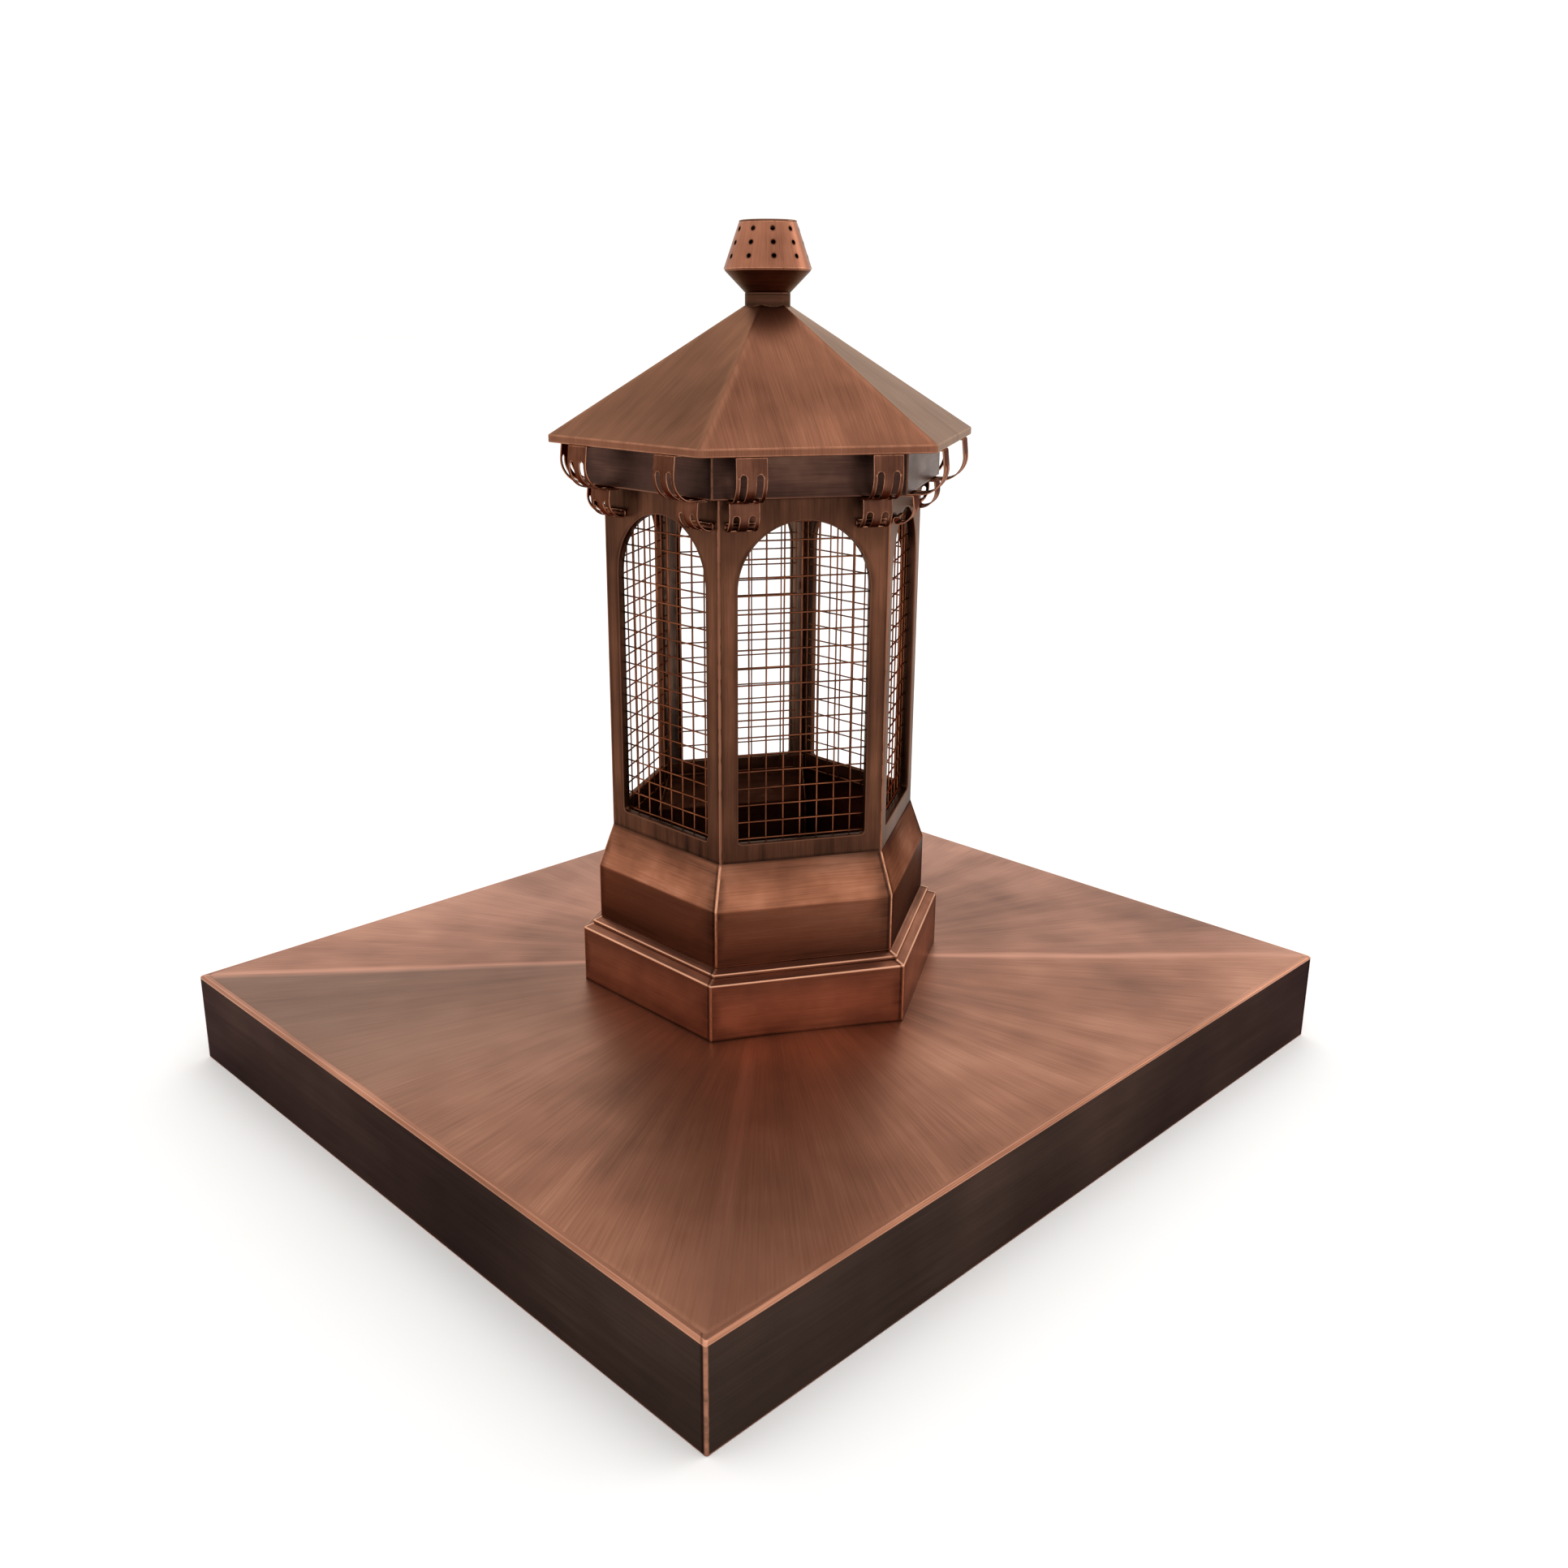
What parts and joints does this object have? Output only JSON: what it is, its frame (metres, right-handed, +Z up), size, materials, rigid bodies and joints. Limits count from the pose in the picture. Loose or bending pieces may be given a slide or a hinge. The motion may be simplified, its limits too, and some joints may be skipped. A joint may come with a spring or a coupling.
{
  "type": "pier cap with vented lantern",
  "caption": "Sheet copper pier cap: a skirted rectangular pan carrying a six-sided lantern with arched mesh windows, bracket straps, a pyramid roof and a pierced finial.",
  "frame": {"origin": "centre of the pan at the bottom edge of its skirt", "axes": "+Z up out of the pier, +Y along the longer side of the pan, +X along its shorter side"},
  "size_m": [0.61, 0.686, 0.6511],
  "materials": {
    "pan_copper": "brushed antique copper, dark",
    "lantern_copper": "brushed antique copper, worn bright on the edges",
    "strap_copper": "brushed antique copper strap",
    "finial_copper": "brushed antique copper, spun",
    "mesh_copper": "welded copper wire, tarnished"
  },
  "bodies": {
    "root": {"base_pan": "pan_copper", "plinth_band": "lantern_copper", "step_ring": "lantern_copper", "shoulder": "lantern_copper", "frieze": "lantern_copper", "roof": "lantern_copper", "neck_ring": "lantern_copper", "finial_lower_cone": "finial_copper", "finial_upper_cone": "finial_copper", "finial_cap": "finial_copper", "window_panel_1": "lantern_copper", "window_panel_2": "lantern_copper", "window_panel_3": "lantern_copper", "window_panel_4": "lantern_copper", "window_panel_5": "lantern_copper", "window_panel_6": "lantern_copper", "mesh_screen_1": "mesh_copper", "mesh_screen_2": "mesh_copper", "mesh_screen_3": "mesh_copper", "mesh_screen_4": "mesh_copper", "mesh_screen_5": "mesh_copper", "mesh_screen_6": "mesh_copper", "upper_strap_01": "strap_copper", "upper_strap_02": "strap_copper", "upper_strap_03": "strap_copper", "upper_strap_04": "strap_copper", "upper_strap_05": "strap_copper", "upper_strap_06": "strap_copper", "upper_strap_07": "strap_copper", "upper_strap_08": "strap_copper", "upper_strap_09": "strap_copper", "upper_strap_10": "strap_copper", "upper_strap_11": "strap_copper", "upper_strap_12": "strap_copper", "lower_strap_01": "strap_copper", "lower_strap_02": "strap_copper", "lower_strap_03": "strap_copper", "lower_strap_04": "strap_copper", "lower_strap_05": "strap_copper", "lower_strap_06": "strap_copper", "lower_strap_07": "strap_copper", "lower_strap_08": "strap_copper", "lower_strap_09": "strap_copper", "lower_strap_10": "strap_copper", "lower_strap_11": "strap_copper", "lower_strap_12": "strap_copper"}
  },
  "joints": []
}
